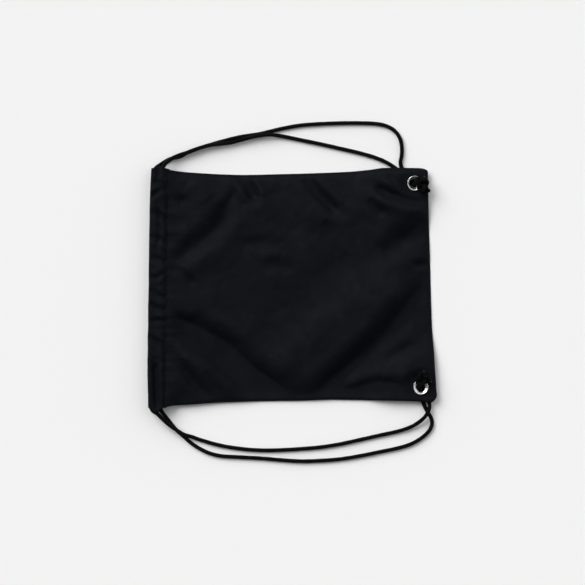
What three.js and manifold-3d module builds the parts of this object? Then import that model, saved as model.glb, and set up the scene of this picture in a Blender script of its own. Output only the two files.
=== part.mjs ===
// A drawstring backpack, lying flat on its back panel. Millimetres, +Z up. +Y points to the mouth and +X to
// the bag's right, seen from the front. The origin is on the surface that the bag lies on, under its middle.
// Two long cords run through hems at the mouth and are knotted through an eyelet at each bottom corner.

import * as THREE from 'three';
import { mergeVertices } from 'three/addons/utils/BufferGeometryUtils.js';
import Module from 'manifold-3d';

const wasm = await Module();
wasm.setup();

// ---------------------------------------------------------------- driving dimensions
const cloth = 0.6;               // one layer of coated woven cloth
const gap = 0.3;                 // clearance between pieces that lie on each other
const cordRadius = 2.75;
const cordSides = 10;

const hemBottom = 178.5;         // the hems reach from here to the mouth fold
const mouthFold = 205.5;
const hemLeft = -168.5;
const hemRight = 157.5;
const hemHeight = 2 * cloth + 2 * cordRadius + 2 * gap;
const mouthGap = 5.4;            // clear height of the mouth between the two hems
const frontHemBase = hemHeight + mouthGap;
const backRunZ = hemHeight / 2;
const frontRunZ = frontHemBase + hemHeight / 2;
const foldRunY = 200;            // the run nearer the mouth fold, and the one nearer the hem's stitching
const stitchRunY = 187;

const panelTop = hemBottom - gap;
const seamGap = 1.8;             // front panel above back panel at the sewn edges
const crown = 10;                // how far the lying bag stands open in its middle
const frontPanelTopZ = 13.2;     // where the front panel meets its hem

const panelCols = 18;            // how finely the cloth's shape is followed
const panelRows = 24;

const seamWidth = 8;
const seamThick = 1.2;

const holeRadius = 6.4;          // clear hole of an eyelet
const barrelRadius = 6.9;
const flangeRadius = 10.75;
const flangeHeight = 1.5;
const washerThick = 0.8;
const cornerLift = 7.6;          // the bottom corners lie on the cords that pass under them
const liftFlat = 36;             // radius of the lifted flat around a corner, and where it has faded out
const liftFade = 90;

const corners = {
  right: { eyelet: [150.4, -169.6], lift: [158, -160], knot: [149.8, -180.7], knotTurn: 0 },
  left: { eyelet: [-138.5, -182.2], lift: [-147, -187], knot: [-127.6, -184.8], knotTurn: Math.PI / 2 },
};

// ---------------------------------------------------------------- outline of the two panels
const points2 = (list) => list.map(([x, y]) => new THREE.Vector2(x, y));
const bottomLeft = [-160, -203.5];
const bottomRight = [171.5, -188];
const topLeft = [-172.1, panelTop];
const topRight = [165.2, panelTop];
const rightSide = new THREE.SplineCurve(points2([bottomRight, [172.1, -163], [171.2, -124], [165.9, -78],
  [161, 22], [159.3, 78], [160.8, 135], topRight]));
const leftSide = new THREE.SplineCurve(points2([bottomLeft, [-158.5, -125], [-158.3, -54], [-161.4, 31],
  [-163.3, 74], [-168.1, 145], topLeft]));
const bottomSide = new THREE.SplineCurve(points2([bottomLeft, [-149, -205.5], [-114, -202.3], [-57, -197.5],
  [28, -193.7], [127, -189.5], bottomRight]));

// A point of the panel: u runs from the left side to the right, v from the bottom to the hem.
function panelPoint(u, v) {
  const left = leftSide.getPointAt(v);
  const right = rightSide.getPointAt(v);
  const bottom = bottomSide.getPointAt(u);
  const top = new THREE.Vector2(...topLeft).lerp(new THREE.Vector2(...topRight), u);
  const low = new THREE.Vector2(...bottomLeft).lerp(new THREE.Vector2(...bottomRight), u);
  const high = top.clone();
  const across = left.lerp(right, u);
  const along = bottom.lerp(top, v);
  return across.add(along).sub(low.lerp(high, v));
}

const rise = (t, from, to) => THREE.MathUtils.smoothstep(t, from, to);

// Height of the back panel's underside, which lies flat but for the two bottom corners.
function liftAt(point) {
  const height = ({ lift }) => {
    const away = point.distanceTo(new THREE.Vector2(...lift));
    return cornerLift * (1 - rise(away, liftFlat, liftFade));
  };
  return Math.max(...Object.values(corners).map(height));
}

const insideFloor = (point) => liftAt(point) + cloth;

// Height of the front panel's underside: low at the sewn edges and the corners, open in the middle, up to the
// hem at the top.
function frontAt(point, u, v) {
  const edge = insideFloor(point) + seamGap;
  const open = 1 - liftAt(point) / cornerLift;
  const swell = crown * open * (1 - (2 * u - 1) ** 4) * rise(v, 0.02, 0.3);
  return THREE.MathUtils.lerp(edge + swell, frontPanelTopZ, rise(v, 0.86, 1));
}

// ---------------------------------------------------------------- solids
const bag = new THREE.Group();
const nylon = { color: 0x141519, roughness: 0.85, metalness: 0 };
const hemCloth = { color: 0x15161a, roughness: 0.85, metalness: 0 };
const binding = { color: 0x101114, roughness: 0.9, metalness: 0 };
const thread = { color: 0x0c0d0f, roughness: 0.7, metalness: 0 };
const nickel = { color: 0xd8d8d4, roughness: 0.22, metalness: 1 };
const braid = { color: 0x0d0d0f, roughness: 0.8, metalness: 0 };

function add(name, geometry, finish) {
  const mesh = new THREE.Mesh(geometry, new THREE.MeshStandardMaterial(finish));
  mesh.name = name;
  bag.add(mesh);
  return mesh;
}

function toSolid(geometry) {
  const bare = geometry.clone();
  bare.deleteAttribute('normal');
  bare.deleteAttribute('uv');
  const merged = mergeVertices(bare, 1e-4);
  return new wasm.Manifold(new wasm.Mesh({
    numProp: 3,
    vertProperties: new Float32Array(merged.attributes.position.array),
    triVerts: new Uint32Array(merged.index.array),
  }));
}

function toGeometry(solid) {
  const mesh = solid.getMesh();
  const geometry = new THREE.BufferGeometry();
  geometry.setAttribute('position', new THREE.Float32BufferAttribute(mesh.vertProperties, 3));
  geometry.setIndex(Array.from(mesh.triVerts));
  geometry.computeVertexNormals();
  return geometry;
}

// A sheet that covers the panel's outline from u0, v0 to u1, v1, with its underside at height(point, u, v).
function sheet([u0, v0], [u1, v1], height, thickness, cols = panelCols, rows = panelRows) {
  const geometry = new THREE.BoxGeometry(1, 1, 1, cols, rows, 1);
  const position = geometry.attributes.position;
  for (let i = 0; i < position.count; i += 1) {
    const u = THREE.MathUtils.lerp(u0, u1, position.getX(i) + 0.5);
    const v = THREE.MathUtils.lerp(v0, v1, position.getY(i) + 0.5);
    const point = panelPoint(u, v);
    const top = position.getZ(i) > 0 ? thickness : 0;
    position.setXYZ(i, point.x, point.y, height(point, u, v) + top);
  }
  nestUnderside(geometry);
  geometry.computeVertexNormals();
  return geometry;
}

// Splits the squares of a box's underside along the same diagonals as those of its top, so that sheets nest.
function nestUnderside(geometry) {
  const index = geometry.index;
  const { start, count } = geometry.groups[5];
  for (let i = start; i < start + count; i += 6) {
    const [a, b, c, d] = [0, 1, 4, 5].map((k) => index.getX(i + k));
    [a, b, c, a, c, d].forEach((corner, k) => index.setX(i + k, corner));
  }
}

// The part of a sheet that lies between u0, v0 and u1, v1.
function trimmed(geometry, from, to) {
  const cutter = sheet(from, to, () => -20, 80);
  return toGeometry(toSolid(geometry).intersect(toSolid(cutter)));
}

// Cuts the round holes of the named corners' eyelets through a sheet.
function punched(geometry, names) {
  const punchHeight = 60;
  let solid = toSolid(geometry);
  for (const name of names) {
    const punch = new THREE.CylinderGeometry(barrelRadius + gap, barrelRadius + gap, punchHeight, 24);
    punch.rotateX(Math.PI / 2);
    punch.translate(...corners[name].eyelet, 0);
    solid = solid.subtract(toSolid(punch));
  }
  return toGeometry(solid);
}

// ---------------------------------------------------------------- panels and seams
const whole = [[0, 0], [1, 1]];
const onFloor = (point) => liftAt(point);
const onBackPanel = (point) => insideFloor(point) + gap;

add('back_panel', punched(sheet(...whole, onFloor, cloth), ['left', 'right']), nylon);
add('front_panel', punched(sheet(...whole, frontAt, cloth), ['left', 'right']), nylon);

// Seam allowances, turned inside the bag along its sides and its bottom.
const sideShare = seamWidth / (topRight[0] - topLeft[0]);
const endShare = seamWidth / (topRight[1] - bottomRight[1]);
const inset = 0.004;
const sideTop = 0.85;
const allowance = sheet(...whole, onBackPanel, seamThick);
add('left_side_seam', trimmed(allowance, [inset, inset], [sideShare, sideTop]), binding);
add('right_side_seam', trimmed(allowance, [1 - sideShare, inset], [1 - inset, sideTop]), binding);
add('bottom_seam', trimmed(allowance, [sideShare + inset, inset], [1 - sideShare - inset, endShare]), binding);

// Doubled cloth inside each bottom corner, which the eyelet is pressed through.
const patchShare = 0.15;
const patchInner = sideShare + inset;
const patchLow = endShare + inset;
const doubling = sheet(...whole, onBackPanel, cloth);
const leftPatch = trimmed(doubling, [patchInner, patchLow], [patchShare, patchShare]);
const rightPatch = trimmed(doubling, [1 - patchShare, patchLow], [1 - patchInner, patchShare]);
add('left_corner_patch', punched(leftPatch, ['left']), nylon);
add('right_corner_patch', punched(rightPatch, ['right']), nylon);

// ---------------------------------------------------------------- hems that hold the cords
// A flat tube with round edges, open at both ends, from hemLeft to hemRight.
function hem(base) {
  const flatTube = (path, inset) => {
    const radius = hemHeight / 2 - inset;
    const middle = base + hemHeight / 2;
    path.absarc(hemBottom + hemHeight / 2, middle, radius, Math.PI / 2, 1.5 * Math.PI, false);
    path.absarc(mouthFold - hemHeight / 2, middle, radius, -Math.PI / 2, Math.PI / 2, false);
    path.closePath();
    return path;
  };
  const section = flatTube(new THREE.Shape(), 0);
  section.holes.push(flatTube(new THREE.Path(), cloth));
  const geometry = new THREE.ExtrudeGeometry(section, {
    depth: hemRight - hemLeft,
    bevelEnabled: false,
    curveSegments: 6,
    steps: 1,
  });
  const alongX = new THREE.Matrix4().makeBasis(
    new THREE.Vector3(0, 1, 0),
    new THREE.Vector3(0, 0, 1),
    new THREE.Vector3(1, 0, 0),
  );
  geometry.applyMatrix4(alongX);
  geometry.translate(hemLeft, 0, 0);
  return geometry;
}

add('back_casing', hem(0), hemCloth);
add('front_casing', hem(frontHemBase), hemCloth);

// The lines of thread that close the hems, each lying on its panel just below the hem.
const threadWidth = 0.9;
const threadHeight = 0.5;
function stitchLine(z) {
  const length = hemRight - hemLeft;
  const geometry = new THREE.BoxGeometry(length, threadWidth, threadHeight, 1, 1, 1);
  geometry.translate((hemLeft + hemRight) / 2, panelTop - threadWidth, z + threadHeight / 2);
  return geometry;
}
add('back_casing_stitching', stitchLine(cloth + gap), thread);
add('front_casing_stitching', stitchLine(frontPanelTopZ + cloth + gap), thread);

// ---------------------------------------------------------------- eyelets
const flangeBase = cornerLift + cloth + seamGap + cloth + gap;
const washerBase = cornerLift - gap - washerThick;

function turned(profile) {
  const closed = [...profile, profile[0]];
  const geometry = new THREE.LatheGeometry(points2(closed), 24);
  geometry.rotateX(Math.PI / 2);
  return geometry;
}

for (const [side, { eyelet }] of Object.entries(corners)) {
  const crest = (flangeRadius + holeRadius) / 2;
  const flange = turned([
    [holeRadius, washerBase],
    [barrelRadius, washerBase],
    [barrelRadius, flangeBase],
    [flangeRadius, flangeBase],
    [flangeRadius - 0.5, flangeBase + 0.7 * flangeHeight],
    [crest, flangeBase + flangeHeight],
    [holeRadius + 0.5, flangeBase + 0.7 * flangeHeight],
    [holeRadius, flangeBase],
  ]);
  flange.translate(...eyelet, 0);
  add(`${side}_eyelet`, flange, nickel);

  const washer = turned([
    [barrelRadius + gap, washerBase],
    [flangeRadius, washerBase],
    [flangeRadius, washerBase + washerThick],
    [barrelRadius + gap, washerBase + washerThick],
  ]);
  washer.translate(...eyelet, 0);
  add(`${side}_eyelet_washer`, washer, nickel);
}

// ---------------------------------------------------------------- cords
// A route that is stepped once for each of its points, so that bends get short steps and straights long ones.
class Route extends THREE.CatmullRomCurve3 {
  getPointAt(t, target) {
    return this.getPoint(t, target);
  }

  getTangentAt(t, target) {
    return this.getTangent(t, target);
  }
}

const cordSection = new THREE.Shape(Array.from({ length: cordSides }, (_, i) => {
  const angle = (2 * Math.PI * i) / cordSides;
  return new THREE.Vector2(cordRadius * Math.cos(angle), cordRadius * Math.sin(angle));
}));

function cord(list) {
  const route = new Route(list.map((p) => new THREE.Vector3(...p)));
  return new THREE.ExtrudeGeometry(cordSection, {
    steps: list.length - 1,
    bevelEnabled: false,
    extrudePath: route,
  });
}

// The stretch inside the hems: in along one hem, round at the far end of the mouth, and back along the other.
function channelLoop(exitX, farX, frontY, backY) {
  const sign = Math.sign(farX - exitX);
  const middleY = (frontY + backY) / 2;
  const middleZ = (frontRunZ + backRunZ) / 2;
  const halfY = (frontY - backY) / 2;
  const halfZ = (frontRunZ - backRunZ) / 2;
  const radius = Math.hypot(halfY, halfZ);
  const straights = [exitX, (exitX + farX) / 2, farX - sign * 14, farX - sign * 4];
  const turn = [];
  const turnSteps = 8;
  for (let i = 0; i <= turnSteps; i += 1) {
    const angle = (Math.PI * i) / turnSteps;
    const side = Math.cos(angle);
    turn.push([farX + sign * radius * Math.sin(angle), middleY + halfY * side, middleZ + halfZ * side]);
  }
  const front = straights.map((x) => [x, frontY, frontRunZ]);
  const back = straights.map((x) => [x, backY, backRunZ]).reverse();
  return [...front, ...turn, ...back];
}

// The last stretch of a strand: along the surface under the corner, then round and up through the eyelet.
function riseThrough([fromX, fromY], [holeX, holeY]) {
  const bend = 9;
  const steepest = THREE.MathUtils.degToRad(72);
  const past = 0.6;                // the steepest point lies this far past the hole's axis
  const heading = new THREE.Vector2(holeX - fromX, holeY - fromY).normalize();
  const at = (along, z) => [holeX + heading.x * along, holeY + heading.y * along, z];
  const list = [];
  const bendSteps = 4;
  for (let i = 0; i <= bendSteps; i += 1) {
    const angle = (steepest * i) / bendSteps;
    list.push(at(past - bend * (Math.sin(steepest) - Math.sin(angle)), cordRadius + bend * (1 - Math.cos(angle))));
  }
  const topZ = flangeBase + flangeHeight - 0.3;
  const climbed = cordRadius + bend * (1 - Math.cos(steepest));
  list.push(at(past + (topZ - climbed) / Math.tan(steepest), topZ));
  return list;
}

const low = cordRadius;

// Each strand from its hem to its eyelet, as it lies. The strand from the front hem lies on the other where they touch.
const strands = {
  right_cord_outer_strand: {
    start: [hemRight, foldRunY, backRunZ],
    list: [[166.5, 198.6, 3.1], [171.8, 193.3, low], [176.6, 187, low],
      [180.4, 180.6, low], [182.9, 173.2, low], [185.2, 163.9, low], [191.2, 149.8, low], [196.6, 135.7, low],
      [205.5, 107.4, low], [212.9, 79.1, low], [217.8, 50.7, low], [224.9, 22.4, low], [230.5, -5.9, low],
      [233, -34.3, low], [234.5, -62.6, low], [235, -91, low], [234, -117, low], [230, -132, low],
      [223, -142, low], [213, -148.4, low], [200, -150.9, low], [189, -150.6, low], [180.6, -149.2, low],
      [173.5, -150.5, low], [167, -155.8, low]],
    hole: [152.6, -171.5],
  },
  right_cord_inner_strand: {
    start: [hemRight, stitchRunY, frontRunZ],
    list: [[166.8, 186.5, 15.6], [173.3, 182.6, 13.5], [177.2, 178, 12],
      [181.1, 172.2, 10.4], [184.9, 163.9, 8.9], [191.3, 149.8, 8.7], [196.5, 135.7, 8.7], [200.6, 121.5, 8.6],
      [202.5, 107.3, 8], [204.3, 93.2, 6.5], [208, 79, 6.5], [212.1, 64.9, 7.5], [215.2, 50.7, 8.2],
      [216.6, 36.5, 7.4], [215.3, 22.3, 4.6], [210, -6.2, low], [204.6, -34.6, low], [198.6, -63.1, low],
      [192.3, -91.6, low], [185.5, -115.5, low], [178.5, -131.5, low], [171.6, -142, low], [165, -149.6, low]],
    hole: [148.2, -167.7],
  },
  left_cord_inner_strand: {
    start: [hemLeft, foldRunY, frontRunZ],
    list: [[-176.5, 197.6, 16.3], [-182, 191.8, 15.6], [-188.6, 184.8, 14],
      [-194.8, 178.2, 12], [-200.4, 171, 10], [-205.3, 162.4, 8.8], [-209.6, 152.9, 7.8], [-213, 143, 5.2],
      [-217.6, 129.5, low], [-225, 101.5, low], [-229.3, 73.1, low], [-231.2, 44.6, low], [-230.6, 16.2, low],
      [-228.6, -12.1, low], [-225.8, -40.5, low], [-221, -68.8, low], [-214.4, -97.1, low], [-207.6, -125.5, low],
      [-201.2, -152.5, 3.2], [-195.2, -169, 4.6], [-187.3, -181.6, 6.6], [-181, -188.2, 8.2],
      [-174, -192.8, 8.7], [-167, -195, 6.4], [-159.6, -194.5, 3.6], [-152, -191.3, low]],
    hole: [-137.4, -184.9],
  },
  left_cord_outer_strand: {
    start: [hemLeft, stitchRunY, backRunZ],
    list: [[-175.5, 185, 3.2], [-181.5, 181, low], [-188.4, 175.4, low],
      [-196.6, 168.7, low], [-205.3, 161.4, low], [-214, 152.8, low], [-222, 143, low], [-230.4, 129.5, low],
      [-236.6, 115.6, low], [-240, 100, low], [-241.4, 72.9, low], [-242.6, 44.5, low], [-244.6, 16.1, low],
      [-246, -12.4, low], [-244.9, -40.8, low], [-242.3, -69.1, low], [-237.4, -97.5, low], [-231.2, -125.8, low],
      [-225.3, -152, low], [-219.8, -169, low], [-212.3, -182.2, low], [-205, -191, low], [-197.5, -196.8, low],
      [-189.8, -199, low], [-182.2, -197.6, low], [-175.6, -193.8, low], [-168.6, -189.6, low],
      [-160.8, -186.4, low], [-152.4, -183.9, low]],
    hole: [-139.6, -179.6],
  },
};

const straightOut = 3;             // a strand leaves its hem straight for this long
for (const [name, { start: [x, y, z], list, hole }] of Object.entries(strands)) {
  const outward = Math.sign(x);
  const leaving = [gap, straightOut].map((length) => [x + outward * length, y, z]);
  add(name, cord([...leaving, ...list, ...riseThrough(list.at(-1), hole)]), braid);
}
add('left_cord_channel_loop', cord(channelLoop(hemLeft, hemRight, foldRunY, stitchRunY)), braid);
add('right_cord_channel_loop', cord(channelLoop(hemRight, hemLeft, stitchRunY, foldRunY)), braid);

// ---------------------------------------------------------------- knots and cord ends
const knotBase = flangeBase + flangeHeight + gap;
const knotHalf = [10, 8.6, 4.8];
const knotZ = knotBase + knotHalf[2];
const tailRadius = 2.5;
const tailLength = 6.5;

function overhandKnot() {
  const radius = 6.2;
  const tube = 2.2;
  const geometry = new THREE.TorusKnotGeometry(radius, tube, 44, 8, 2, 3);
  geometry.computeBoundingBox();
  const size = geometry.boundingBox.getSize(new THREE.Vector3());
  geometry.center();
  geometry.scale((2 * knotHalf[0]) / size.x, (2 * knotHalf[1]) / size.y, (2 * knotHalf[2]) / size.z);
  return geometry;
}

function tail(angle) {
  const heading = new THREE.Vector3(Math.cos(angle), Math.sin(angle), -0.25).normalize();
  const reach = 1 / Math.hypot(Math.cos(angle) / knotHalf[0], Math.sin(angle) / knotHalf[1]);
  const geometry = new THREE.CylinderGeometry(tailRadius, tailRadius, tailLength, cordSides);
  geometry.applyQuaternion(new THREE.Quaternion().setFromUnitVectors(new THREE.Vector3(0, 1, 0), heading));
  const middle = heading.multiplyScalar(reach + tailRadius + tailLength / 2);
  geometry.translate(middle.x, middle.y, middle.z);
  return geometry;
}

const tailAngles = { right: [-2.25, -0.75], left: [-1.9, -0.35] };
for (const [side, { knot, knotTurn }] of Object.entries(corners)) {
  const geometry = overhandKnot();
  geometry.rotateZ(knotTurn);
  add(`${side}_cord_knot`, geometry, braid).position.set(...knot, knotZ);
  tailAngles[side].forEach((angle, i) => {
    add(`${side}_cord_end_${'ab'[i]}`, tail(angle), braid).position.set(...knot, knotZ);
  });
}

export default bag;
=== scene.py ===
"""Looks of a drawstring backpack that lies on its back, front panel up.

+Y points to its mouth and +X to its right. Lengths are in metres, but the shapes of the panels and hems are
worked out in millimetres, and each of those sections says so.
"""

import math

import bpy
import numpy as np
from mathutils import Euler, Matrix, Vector, noise


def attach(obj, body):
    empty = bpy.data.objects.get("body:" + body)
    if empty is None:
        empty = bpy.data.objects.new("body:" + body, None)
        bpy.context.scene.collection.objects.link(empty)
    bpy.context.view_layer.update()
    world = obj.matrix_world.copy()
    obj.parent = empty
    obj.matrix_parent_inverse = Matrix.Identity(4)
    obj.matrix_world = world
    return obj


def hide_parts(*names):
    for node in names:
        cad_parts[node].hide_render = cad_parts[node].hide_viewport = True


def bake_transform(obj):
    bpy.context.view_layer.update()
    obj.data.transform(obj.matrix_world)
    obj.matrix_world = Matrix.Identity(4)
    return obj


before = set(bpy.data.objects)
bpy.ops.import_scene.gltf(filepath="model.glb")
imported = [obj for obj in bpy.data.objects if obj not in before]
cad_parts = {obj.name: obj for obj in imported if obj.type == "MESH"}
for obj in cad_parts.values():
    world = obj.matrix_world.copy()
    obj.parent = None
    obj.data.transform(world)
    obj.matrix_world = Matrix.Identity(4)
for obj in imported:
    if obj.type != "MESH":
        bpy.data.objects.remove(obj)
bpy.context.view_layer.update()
MM = 0.001

# ------ sizes that pieces share
CORD_RADIUS = 0.00275
LOW = CORD_RADIUS  # height of a cord that lies on the floor
BRAID_STRANDS, BRAID_PITCH = 16, 0.0052
HEM_LEFT, HEM_RIGHT = -0.1685, 0.1575
MOUTH_FOLD = 0.2055
HEM_HEIGHT = 0.0073
FRONT_HEM_BASE = 0.0127
BACK_RUN_Z, FRONT_RUN_Z = HEM_HEIGHT / 2, FRONT_HEM_BASE + HEM_HEIGHT / 2
FOLD_RUN_Y, STITCH_RUN_Y = 0.200, 0.187  # the two cords inside each hem
EYELETS = {"right": (0.1504, -0.1696), "left": (-0.1385, -0.1822)}
FLANGE_BASE, FLANGE_HEIGHT = 0.0109, 0.0015
TIE_HEIGHT = FLANGE_BASE + FLANGE_HEIGHT  # the knots sit on the eyelets' flanges

# ------ camera
# Straight above, and turned so that the bag's mouth is at the left of the picture.
FRAMED_WIDTH = 0.8307
CAMERA_PLACE = (-0.00677, 0.00153, 6.0)
CAMERA_TURN = math.radians(-89.22)
SENSOR = 36.0


def make_camera():
    data = bpy.data.cameras.new("camera")
    data.sensor_width = SENSOR
    data.lens = SENSOR * CAMERA_PLACE[2] / FRAMED_WIDTH
    data.clip_end = 50
    camera = bpy.data.objects.new("camera", data)
    camera.location = CAMERA_PLACE
    camera.rotation_euler = (0, 0, CAMERA_TURN)
    bpy.context.collection.objects.link(camera)
    bpy.context.scene.camera = camera


make_camera()


# ------ small tools
def smooth(value, start, end):
    """0 up to start, 1 from end on, and a soft step between them."""
    t = np.clip((np.asarray(value, float) - start) / (end - start), 0, 1)
    return t * t * (3 - 2 * t)


def mix(a, b, t):
    return a + (b - a) * t


def travelled(path):
    """The length of the path up to each of its points."""
    return np.concatenate([[0], np.cumsum(np.linalg.norm(np.diff(path, axis=0), axis=1))])


def length_of(path):
    return float(travelled(path)[-1])


def catmull_rom(points, step):
    """Points about a step apart on the centripetal Catmull-Rom curve through the given ones."""
    p = np.array(points, float)
    p = np.vstack([2 * p[0] - p[1], p, 2 * p[-1] - p[-2]])
    fine = []
    for p0, p1, p2, p3 in zip(p, p[1:], p[2:], p[3:]):
        t0 = 0.0
        t1 = t0 + max(np.linalg.norm(p1 - p0), 1e-9) ** 0.5
        t2 = t1 + max(np.linalg.norm(p2 - p1), 1e-9) ** 0.5
        t3 = t2 + max(np.linalg.norm(p3 - p2), 1e-9) ** 0.5
        count = max(2, int(np.linalg.norm(p2 - p1) / step * 4))
        for t in np.linspace(t1, t2, count, endpoint=False):
            a1 = p0 * (t1 - t) / (t1 - t0) + p1 * (t - t0) / (t1 - t0)
            a2 = p1 * (t2 - t) / (t2 - t1) + p2 * (t - t1) / (t2 - t1)
            a3 = p2 * (t3 - t) / (t3 - t2) + p3 * (t - t2) / (t3 - t2)
            b1 = a1 * (t2 - t) / (t2 - t0) + a2 * (t - t0) / (t2 - t0)
            b2 = a2 * (t3 - t) / (t3 - t1) + a3 * (t - t1) / (t3 - t1)
            fine.append(b1 * (t2 - t) / (t2 - t1) + b2 * (t - t1) / (t2 - t1))
    fine.append(p[-2])
    fine = np.array(fine)
    along = travelled(fine)
    stations = np.linspace(0, along[-1], max(2, int(round(along[-1] / step)) + 1))
    return np.column_stack([np.interp(stations, along, fine[:, k]) for k in range(fine.shape[1])])


def add_mesh(name, verts, faces, uvs, material, flat_from=None):
    """uvs has one (u, v) in metres per corner of each face. Faces from flat_from on are shaded flat."""
    mesh = bpy.data.meshes.new(name)
    mesh.from_pydata([tuple(v) for v in verts], [], faces)
    if uvs is not None:
        layer = mesh.uv_layers.new(name="UVMap")
        layer.data.foreach_set("uv", np.asarray(uvs, np.float32).ravel())
    curved = len(mesh.polygons) if flat_from is None else flat_from
    mesh.polygons.foreach_set("use_smooth", [i < curved for i in range(len(mesh.polygons))])
    mesh.update()
    obj = bpy.data.objects.new(name, mesh)
    bpy.context.collection.objects.link(obj)
    mesh.materials.append(material)
    return obj


def ring_faces(rings, sides):
    """The faces between each ring of points and the next."""
    for i in range(rings - 1):
        for j in range(sides):
            k = (j + 1) % sides
            yield i * sides + j, i * sides + k, (i + 1) * sides + k, (i + 1) * sides + j


def frames_along(path):
    """Two unit vectors across the path at each of its points, which turn as little as they can."""
    tangents = np.gradient(path, axis=0)
    tangents /= np.linalg.norm(tangents, axis=1)[:, None]
    side = np.cross(tangents[0], (0.0, 0.0, 1.0))
    if np.linalg.norm(side) < 1e-3:
        side = np.cross(tangents[0], (0.0, 1.0, 0.0))
    sides = []
    for t in tangents:
        side = side - t * np.dot(side, t)
        side /= np.linalg.norm(side)
        sides.append(side)
    sides = np.array(sides)
    return sides, np.cross(tangents, sides)


def tube(name, path, radius, sides, material, relief=None, cap_radius=0.6):
    """A round tube along path, with domed ends. relief(around, along) is added to its radius."""
    path = np.array(path, float)
    across, up = frames_along(path)
    along = travelled(path)
    angles = np.linspace(0, 2 * math.pi, sides, endpoint=False)
    radii = np.full((len(path), sides), radius)
    if relief is not None:
        radii = radii + relief(angles[None, :], along[:, None])
    cos, sin = np.cos(angles)[None, :, None], np.sin(angles)[None, :, None]
    ring = across[:, None, :] * cos + up[:, None, :] * sin
    verts = (path[:, None, :] + ring * radii[:, :, None]).reshape(-1, 3)
    faces, uvs = list(ring_faces(len(path), sides)), []
    around = 2 * math.pi * float(np.mean(radii)) / sides
    for i in range(len(path) - 1):
        for j in range(sides):
            u0, u1 = j * around, (j + 1) * around
            uvs += [(u0, along[i]), (u1, along[i]), (u1, along[i + 1]), (u0, along[i + 1])]
    verts = list(verts)
    mean = radii.mean()
    for at, way in ((0, -1), (len(path) - 1, 1)):
        base, first = len(verts), at * sides
        bulge = way * np.cross(across[at], up[at]) * mean * (1 - cap_radius)
        verts += list(path[at] + ring[at] * mean * cap_radius + bulge)
        caps = [(first + j, first + (j + 1) % sides, base + (j + 1) % sides, base + j) for j in range(sides)]
        caps.append(tuple(range(base, base + sides)))
        faces += caps if way > 0 else [face[::-1] for face in caps]
        uvs += [(0, 0)] * (5 * sides)
    return add_mesh(name, verts, faces, uvs, material)


# ------ materials
def new_material(name, **settings):
    """A plain surface. Each setting is an input of its shader, with _ for a space."""
    material = bpy.data.materials.new(name)
    material.use_nodes = True
    tree = material.node_tree
    tree.nodes.clear()
    output = tree.nodes.new("ShaderNodeOutputMaterial")
    shader = tree.nodes.new("ShaderNodeBsdfPrincipled")
    tree.links.new(shader.outputs["BSDF"], output.inputs["Surface"])
    for key, value in settings.items():
        shader.inputs[key.replace("_", " ")].default_value = value
    return material, tree, shader


def math_node(tree, operation, a, b=None):
    node = tree.nodes.new("ShaderNodeMath")
    node.operation = operation
    for socket, value in zip(node.inputs, (a, b)):
        if value is None:
            continue
        if isinstance(value, (int, float)):
            socket.default_value = value
        else:
            tree.links.new(value, socket)
    return node.outputs[0]


def uv_axes(tree):
    uv = tree.nodes.new("ShaderNodeUVMap")
    uv.uv_map = "UVMap"
    split = tree.nodes.new("ShaderNodeSeparateXYZ")
    tree.links.new(uv.outputs["UV"], split.inputs[0])
    return split.outputs["X"], split.outputs["Y"]


def noise_node(tree, scale, detail=3.0, roughness=0.55):
    place = tree.nodes.new("ShaderNodeTexCoord")
    node = tree.nodes.new("ShaderNodeTexNoise")
    node.inputs["Scale"].default_value = scale
    node.inputs["Detail"].default_value = detail
    node.inputs["Roughness"].default_value = roughness
    tree.links.new(place.outputs["Object"], node.inputs["Vector"])
    return node.outputs["Fac"]


def vary(tree, shader, key, fac, low, high, at_low, at_high):
    """Makes an input of the shader follow fac: at_low where fac is low, at_high where it is high."""
    node = tree.nodes.new("ShaderNodeValToRGB")
    for stop, place, colour in zip(node.color_ramp.elements, (low, high), (at_low, at_high)):
        stop.position = place
        stop.color = (*colour, 1) if isinstance(colour, tuple) else (colour, colour, colour, 1)
    tree.links.new(fac, node.inputs["Fac"])
    tree.links.new(node.outputs["Color"], shader.inputs[key])


def bump(tree, shader, height, distance, strength=1.0, before=None):
    node = tree.nodes.new("ShaderNodeBump")
    node.inputs["Strength"].default_value = strength
    node.inputs["Distance"].default_value = distance
    tree.links.new(height, node.inputs["Height"])
    if before is not None:
        tree.links.new(before, node.inputs["Normal"])
    tree.links.new(node.outputs["Normal"], shader.inputs["Normal"])
    return node.outputs["Normal"]


def plain_weave(tree, pitch):
    """Height of a plain weave: warp and weft threads that pass over each other in turn."""
    u, v = uv_axes(tree)
    a = math_node(tree, "SINE", math_node(tree, "MULTIPLY", u, math.pi / pitch))
    b = math_node(tree, "SINE", math_node(tree, "MULTIPLY", v, math.pi / pitch))
    over = math_node(tree, "MULTIPLY", a, b)
    warp = math_node(tree, "ABSOLUTE", a)
    weft = math_node(tree, "ABSOLUTE", b)
    top = math_node(tree, "MAXIMUM", math_node(tree, "MULTIPLY", warp, over),
                    math_node(tree, "MULTIPLY", weft, math_node(tree, "MULTIPLY", over, -1.0)))
    return top


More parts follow.
